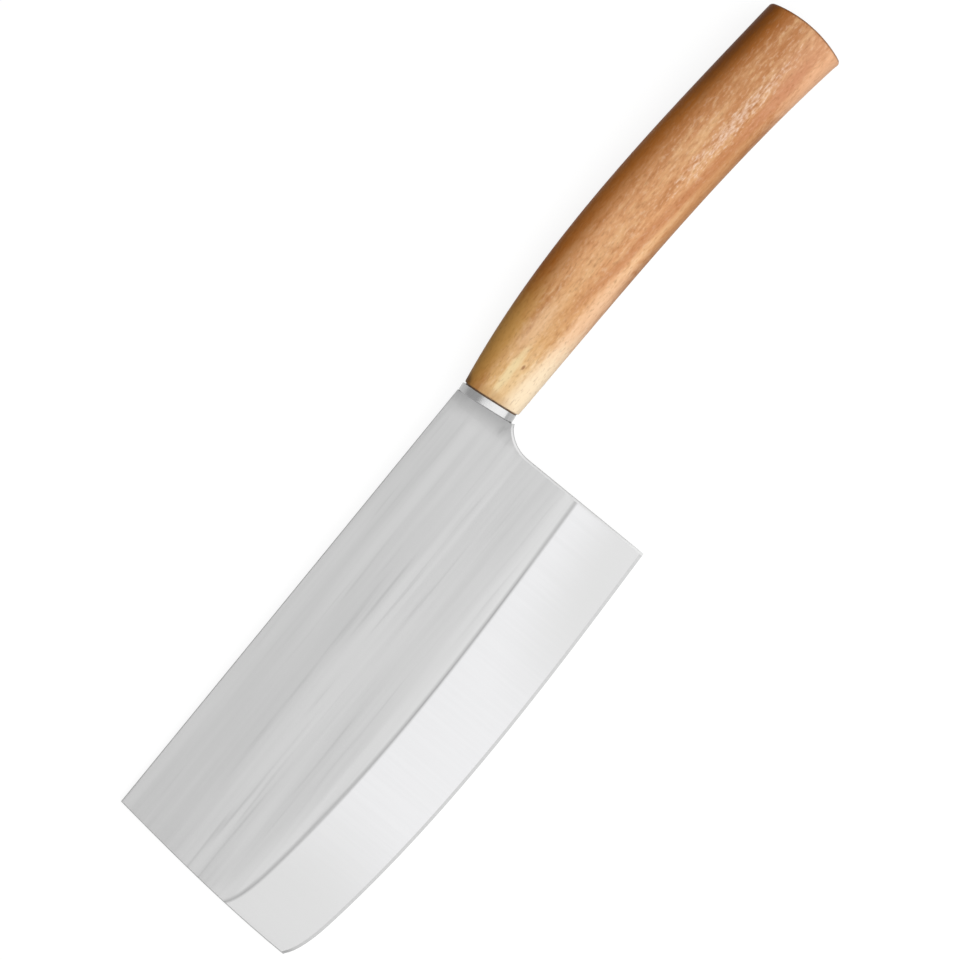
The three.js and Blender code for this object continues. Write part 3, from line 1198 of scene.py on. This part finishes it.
        Bench.select(face, on_heel)
        for before, after in pairwise(shares(self.neck_columns)):
            bpy.ops.mesh.extrude_edges_move()
            Bench.move_selected(face, partial(self.on_neck, before, after))
        Bench.select(face, at_tang)
        for place in (to_root, to_end):
            bpy.ops.mesh.extrude_edges_move()
            Bench.move_selected(face, place)

    def on_collar(self, edge: bmesh.types.BMEdge) -> bool:
        """Tells whether an edge lies along the collar or on the tang behind it."""
        line = partial(self.grip.on_rake, self.grip.collar_start)
        return all(v.co.x > line(v.co.y).x - TOUCH for v in edge.verts)

    def on_rim(self, edge: bmesh.types.BMEdge) -> bool:
        """Tells whether an edge is on the eased outline: all of it but the cutting edge and the tang."""
        cutting = all(v.co.y - self.edge_y(v.co.x) < TOUCH for v in edge.verts)
        return edge.is_boundary and not cutting and not self.on_collar(edge)

    def ways_out(self, mesh: bmesh.types.BMesh) -> list[tuple[Vector, Vector]]:
        """Finds the way out of the outline at each point of the rim.

        Args:
            mesh: The face's mesh.

        Returns:
            Each rim point with the step from there to the finished outline.
        """
        normals: dict[bmesh.types.BMVert, list[Vector]] = {}
        for edge in filter(self.on_rim, mesh.edges):
            first, second = edge.verts
            run = (second.co - first.co).xy.normalized()
            normal = Vector((run.y, -run.x))
            if normal.dot((edge.link_faces[0].calc_center_median() - first.co).xy) > 0:
                normal.negate()
            for vert in edge.verts:
                normals.setdefault(vert, []).append(normal)
        ways = []
        for vert, sides in normals.items():
            mitre = (sides[0] + sides[-1]) / (1 + sides[0].dot(sides[-1]))
            heel_side = vert.co.x > -self.heel_ease - TOUCH and vert.co.y < -self.outline_ease - TOUCH
            ease = self.heel_ease if heel_side else self.outline_ease
            ways.append((vert.co.copy(), mitre * ease))
        return ways

    def draw_rim(self, face: bpy.types.Object) -> None:
        """Extrudes the eased rim round the outline, and then the wall down to the mid plane.

        Args:
            face: The upper face with neck and tang, in edit mode.
        """
        mesh = bmesh.from_edit_mesh(face.data)
        ways = self.ways_out(mesh)
        ground_faces = len(mesh.faces)

        def eased(share: float, index: int) -> Vector:
            """Moves a rim point along the easing.

            Args:
                share: How much of the easing's quarter turn is done.
                index: The rim point's number.

            Returns:
                Its place there.
            """
            start, way = ways[index]
            turn = share * QUARTER_TURN
            drop = min(self.outline_ease, EASE_LIMIT * start.z) * (1 - math.cos(turn))
            out = way * math.sin(turn)
            return start + Vector((out.x, out.y, -drop))

        def on_ring(before: KDTree, after: float, spot: Vector) -> Vector:
            """Returns the next ring's place for a point of the ring before it."""
            return eased(after, before.find(spot)[1])

        Bench.select(face, self.on_rim)
        for before, after in pairwise(shares(self.ease_steps)):
            ring = KDTree(len(ways))
            for index in range(len(ways)):
                ring.insert(eased(before, index), index)
            ring.balance()
            bpy.ops.mesh.extrude_edges_move()
            Bench.move_selected(face, partial(on_ring, ring, after))
        Bench.select(face, lambda edge: edge.is_boundary)
        bpy.ops.mesh.extrude_edges_move()
        Bench.move_selected(face, lambda spot: Vector((spot.x, spot.y, 0.0)))
        # The faces drawn since the ground ones are the rim's
        mesh = bmesh.from_edit_mesh(face.data)
        mesh.faces.ensure_lookup_table()
        for side in mesh.faces[ground_faces:]:
            side.material_index = Zone.RIM

    def build(self, lay: Matrix) -> bpy.types.Object:
        """Draws one face with its rim, mirrors it and lays the blade down.

        Args:
            lay: The matrix from the drawing to the frame.

        Returns:
            The blade.
        """
        blade = self.draw_face()
        self.draw_neck(blade)
        self.draw_rim(blade)
        Bench.store(blade, ABOVE_SEAM, self.above_seam)
        # The ground parts meet in crisp lines
        Bench.select(blade, lambda edge: len({f.material_index for f in edge.link_faces}) > 1)
        bpy.ops.mesh.mark_sharp()
        bpy.ops.object.mode_set(mode="OBJECT")
        Bench.apply(blade, "MIRROR", use_axis=(False, False, True), merge_threshold=TOUCH)
        bpy.ops.object.mode_set(mode="EDIT")
        Bench.finish(blade, lay, self.smooth_angle)
        return blade

    def dress(self, blade: bpy.types.Object, lay: Matrix) -> None:
        """Gives each ground part of the blade its finish, in the order of the zones.

        Args:
            blade: The blade.
            lay: The matrix from the drawing to the frame.
        """
        for zone in Zone:
            blade.data.materials.append(BLADE_STEELS[zone].make(lay))
        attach(blade, BODY)
        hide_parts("blade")


@dataclass(frozen=True)
class Collar:
    """The polished oval collar between blade and wood, with the slot for the tang."""

    grip: Grip
    front_round: float = 0.4
    back_round: float = 0.25
    slot_depth: float = 10.4
    slot_thickness: float = 2.6
    sides: int = 96
    power: float = 2.6
    round_steps: int = 6
    smooth_angle: float = 35.0

    def build(self, lay: Matrix) -> bpy.types.Object:
        """Lofts the collar, cuts its slot and lays it down.

        Args:
            lay: The matrix from the drawing to the frame.

        Returns:
            The collar.
        """
        front = self.grip.collar_section()
        back = front.drawn_in(0.0, self.grip.collar_end - self.grip.collar_start)
        slices = rounded(front, self.front_round, self.round_steps, front=True)
        slices += rounded(back, self.back_round, self.round_steps, front=False)
        collar = loft("polished_collar", slices, self.sides, self.power)
        middle = self.grip.section(self.grip.collar_start).centre
        half = Vector((SLOT_REACH, self.slot_depth / 2, self.slot_thickness / 2))
        cut_slot(collar, middle - half, middle + half)
        Bench.finish(collar, lay, self.smooth_angle)
        return collar

    def dress(self, collar: bpy.types.Object, lay: Matrix) -> None:
        """Gives the collar its finish.

        Args:
            collar: The collar.
            lay: The matrix from the drawing to the frame.
        """
        collar.data.materials.append(COLLAR_STEEL.make(lay))
        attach(collar, BODY)
        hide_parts("bolster")


@dataclass(frozen=True)
class Handle:
    """The curved one-piece wooden handle with its mortise and arched butt. Its slopes are in degrees."""

    grip: Grip
    length: float = 147.1
    droop: float = 3.6
    front_round: float = 0.5
    butt_depth: float = 27.9
    butt_thickness: float = 21.4
    butt_rake: float = 2.0
    butt_round: float = 1.0
    butt_arch: float = 2.4
    top_rise: float = 10.3
    top_fall: float = 4.2
    belly_fall_front: float = 1.1
    belly_fall_butt: float = 8.6
    thickness_ease: float = 1.7  # the power at which the thickness grows to the butt: 1 is straight
    mortise_depth: float = 13.2
    mortise_thickness: float = 5.4
    mortise_end: float = 100.3
    sides: int = 96
    power: float = 2.6
    steps: int = 48
    round_steps: int = 5
    end_steps: int = 8
    smooth_angle: float = 30.0

    def sections(self) -> list[Section]:
        """Cuts the handle into slices between its upper and its lower outline.

        Returns:
            The slices from the front to the butt's rim.
        """
        front = self.grip.section(self.grip.wood_start)
        butt_rake = -math.radians(self.butt_rake)
        butt = replace(front, x=front.x + self.length, y=front.y - self.droop, rake=butt_rake)
        ends = []
        for side in (0.5, -0.5):
            start = front.centre + front.up * side * self.grip.front_depth
            end = butt.centre + butt.up * side * self.butt_depth
            ends.append((start, end))
        slices = []
        for share in shares(self.steps):
            upper = sweep(*ends[0], self.top_rise, -self.top_fall, share)
            lower = sweep(*ends[1], -self.belly_fall_front, -self.belly_fall_butt, share)
            up = upper - lower
            swell = 1 - (1 - share) ** self.thickness_ease
            thickness = lerp(self.grip.front_thickness, self.butt_thickness, swell)
            middle = (upper + lower) / 2
            rake = math.atan2(-up.x, up.y)
            slices.append(Section(middle.x, middle.y, rake, up.length / 2, thickness / 2))
        return slices

    def arch_butt(self, handle: bpy.types.Object, butt: Section) -> None:
        """Bulges the flat end between its upper and its lower rim, straight across its thickness.

        Args:
            handle: The lofted handle, in edit mode.
            butt: The slice at the butt's rim.
        """

        def bulged(spot: Vector) -> Vector:
            """Bulges a point of the end.

            Args:
                spot: A point of the handle.

            Returns:
                Its place on the bulged end, or the point itself if it lies before the rim.
            """
            offset = spot - butt.centre
            if offset.dot(butt.axis) < -self.butt_round - TOUCH:
                return spot
            share = offset.dot(butt.up) / butt.half_depth
            return spot + butt.axis * self.butt_arch * (1 - share * share)

        bpy.ops.mesh.select_all(action="SELECT")
        Bench.move_selected(handle, bulged)

    def build(self, lay: Matrix) -> bpy.types.Object:
        """Lofts the handle, cuts its mortise and lays it down.

        Args:
            lay: The matrix from the drawing to the frame.

        Returns:
            The handle.
        """
        body = self.sections()
        # The front is pressed home on the glue line
        front = body[0].drawn_in(0.0, TOUCH - self.grip.seat_gap)
        slices = rounded(front, self.front_round, self.round_steps, front=True)
        slices += body[1:-1]
        slices += rounded(body[-1], self.butt_round, self.round_steps, front=False)
        cap = body[-1].drawn_in(self.butt_round, 0.0)
        slices += [cap.shrunk(1 - share) for share in shares(self.end_steps)[1:-1]]
        handle = loft("beech_handle", slices, self.sides, self.power)
        self.arch_butt(handle, body[-1])
        half_depth, half_thickness = self.mortise_depth / 2, self.mortise_thickness / 2
        low = Vector((body[0].x - SLOT_REACH, body[0].y - half_depth, -half_thickness))
        high = Vector((self.mortise_end, body[0].y + half_depth, half_thickness))
        cut_slot(handle, low, high)

        def toward_spine(point: Vector) -> float:
            """Returns a point's height in its slice, as a share of the slice's half depth."""
            near = min(body, key=lambda section: abs((point - section.centre).dot(section.axis)))
            return (point - near.centre).dot(near.up) / near.half_depth

        Bench.store(handle, TOWARD_SPINE, toward_spine)
        Bench.finish(handle, lay, self.smooth_angle)
        return handle

    def dress(self, handle: bpy.types.Object, lay: Matrix) -> None:
        """Gives the handle its finish.

        Args:
            handle: The handle.
            lay: The matrix from the drawing to the frame.
        """
        handle.data.materials.append(OiledBeech().make(lay))
        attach(handle, BODY)
        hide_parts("handle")


@dataclass(frozen=True)
class Fade:
    """A grey of the room that goes from one level to another along an axis."""

    axis: str
    start: float
    end: float
    level_before: float
    level_after: float

    def add(self, tree: bpy.types.NodeTree) -> bpy.types.NodeSocket:
        """Adds the grey.

        Args:
            tree: The world's tree.

        Returns:
            The grey.
        """
        way = add_node(tree, "ShaderNodeTexCoord", give="Generated")
        along = add_node(tree, "ShaderNodeSeparateXYZ", {"Vector": way}, give=self.axis)
        inputs = {"Value": along, "From Min": self.start, "From Max": self.end}
        inputs |= {"To Min": self.level_before, "To Max": self.level_after}
        return add_node(tree, "ShaderNodeMapRange", inputs, interpolation_type="SMOOTHSTEP")


@dataclass(frozen=True)
class Studio:
    """The floor, the light and the camera. Lengths are in metres."""

    floor_size: float = 8.0
    floor_drop: float = 0.0002
    floor_colour: str = "#7c7c7c"
    floor_roughness: float = 0.9
    floor_glow: float = 0.865
    key_place: tuple[float, float, float] = (0.28, -0.435, 0.5)
    key_size: tuple[float, float] = (1.3, 1.0)
    key_power: float = 5.3  # in watts
    room_light: Fade = Fade("Y", -0.6, 0.7, 0.6, 0.32)  # what lights the knife, dimmer behind the spine
    room_shown: Fade = Fade("Z", 0.05, 0.6, 1.0, 0.64)  # what shows, white low down and grey overhead
    photo_width: float = 0.29388  # what the picture covers, at the photo height above the floor
    photo_height: float = 0.006
    photo_centre: tuple[float, float] = (-0.010384, 0.013701)
    photo_turn: float = -50.72  # in degrees
    camera_distance: float = 3.0
    sensor: float = 36.0  # in millimetres

    @staticmethod
    def shown_to(tree: bpy.types.NodeTree) -> bpy.types.NodeSocket:
        """Adds a value that tells the rays in which the surroundings show.

        Args:
            tree: The material's or the world's tree.

        Returns:
            1 for the rays to the eye, off metal and through glass, and 0 for those that only bring light.
        """
        rays = ("Is Camera Ray", "Is Glossy Ray", "Is Transmission Ray")
        camera, glossy, through = (add_node(tree, "ShaderNodeLightPath", give=ray) for ray in rays)
        shown = add_node(tree, "ShaderNodeMath", {0: camera, 1: glossy}, operation="MAXIMUM")
        return add_node(tree, "ShaderNodeMath", {0: shown, 1: through}, operation="MAXIMUM")

    def lay_floor(self) -> bpy.types.Object:
        """Lays a pale floor that reads as white and keeps the knife's shadow.

        Returns:
            The floor.
        """
        Bench.clear()
        bpy.ops.mesh.primitive_plane_add(size=self.floor_size, location=(0.0, 0.0, -self.floor_drop))
        floor = Bench.named("studio_floor")
        material, tree, surface = start_material("matt_white_floor")
        surface.inputs["Base Color"].default_value = linear(self.floor_colour)
        surface.inputs["Roughness"].default_value = self.floor_roughness
        surface.inputs["Specular IOR Level"].default_value = 0.0
        glowing = {0: self.shown_to(tree), 1: self.floor_glow}
        glow = add_node(tree, "ShaderNodeMath", glowing, operation="MULTIPLY")
        surface.inputs["Emission Color"].default_value = (1.0, 1.0, 1.0, 1.0)
        tree.links.new(glow, surface.inputs["Emission Strength"])
        floor.data.materials.append(material)
        return floor

    def hang_lamp(self) -> None:
        """Hangs a wide soft lamp over the edge side of the knife, facing down and out of sight."""
        Bench.clear()
        bpy.ops.object.light_add(type="AREA", location=self.key_place)
        lamp = Bench.named("key_softbox")
        lamp.data.shape = "RECTANGLE"
        lamp.data.size, lamp.data.size_y = self.key_size
        lamp.data.energy = self.key_power
        lamp.visible_camera = False

    def paint_room(self) -> None:
        """Paints the room: one grey for its light, and another for what shows of it."""
        world = bpy.data.worlds.new("studio_room")
        bpy.context.scene.world = world
        world.use_nodes = True
        tree = world.node_tree
        greys = {"A": self.room_light.add(tree), "B": self.room_shown.add(tree)}
        grey = add_node(tree, "ShaderNodeMix", greys | {"Factor": self.shown_to(tree)})
        tree.links.new(grey, tree.nodes["Background"].inputs["Color"])

    def place_camera(self) -> None:
        """Sets a long lens straight above the knife, turned as the photograph was."""
        Bench.clear()
        height = self.photo_height + self.camera_distance
        turn = (0.0, 0.0, math.radians(self.photo_turn))
        bpy.ops.object.camera_add(location=(*self.photo_centre, height), rotation=turn)
        camera = Bench.named("photo_camera")
        camera.data.sensor_width = self.sensor
        camera.data.lens = self.sensor * self.camera_distance / self.photo_width
        camera.data.clip_end = 2 * self.camera_distance + self.floor_size
        bpy.context.scene.camera = camera
        bpy.context.scene.view_settings.view_transform = "Standard"


def dress_bedding() -> bpy.types.Object:
    """Gives the resin round the tang its finish. Only its glue line shows, so its solid stays as it is.

    Returns:
        The resin.
    """
    bedding = frame["nodes"]["tang_bedding"]
    bedding.data.materials.clear()
    bedding.data.materials.append(CuredResin().make())
    return bedding


def report(piece: bpy.types.Object) -> None:
    """Logs a piece with its numbers of faces and materials."""
    log.info("%s: %d faces, %d materials", piece.name, len(piece.data.polygons), len(piece.data.materials))


def main() -> None:
    """Builds the pieces in order, dresses them, reports each one and sets the studio."""
    logging.basicConfig(level=logging.INFO, format="%(name)s: %(message)s")
    lay = Lay().matrix()
    grip = Grip()
    for part in (Blade(grip), Collar(grip), Handle(grip)):
        piece = part.build(lay)
        part.dress(piece, lay)
        report(piece)
    report(dress_bedding())
    studio = Studio()
    report(studio.lay_floor())
    studio.hang_lamp()
    studio.paint_room()
    studio.place_camera()


if __name__ == "__main__":
    main()
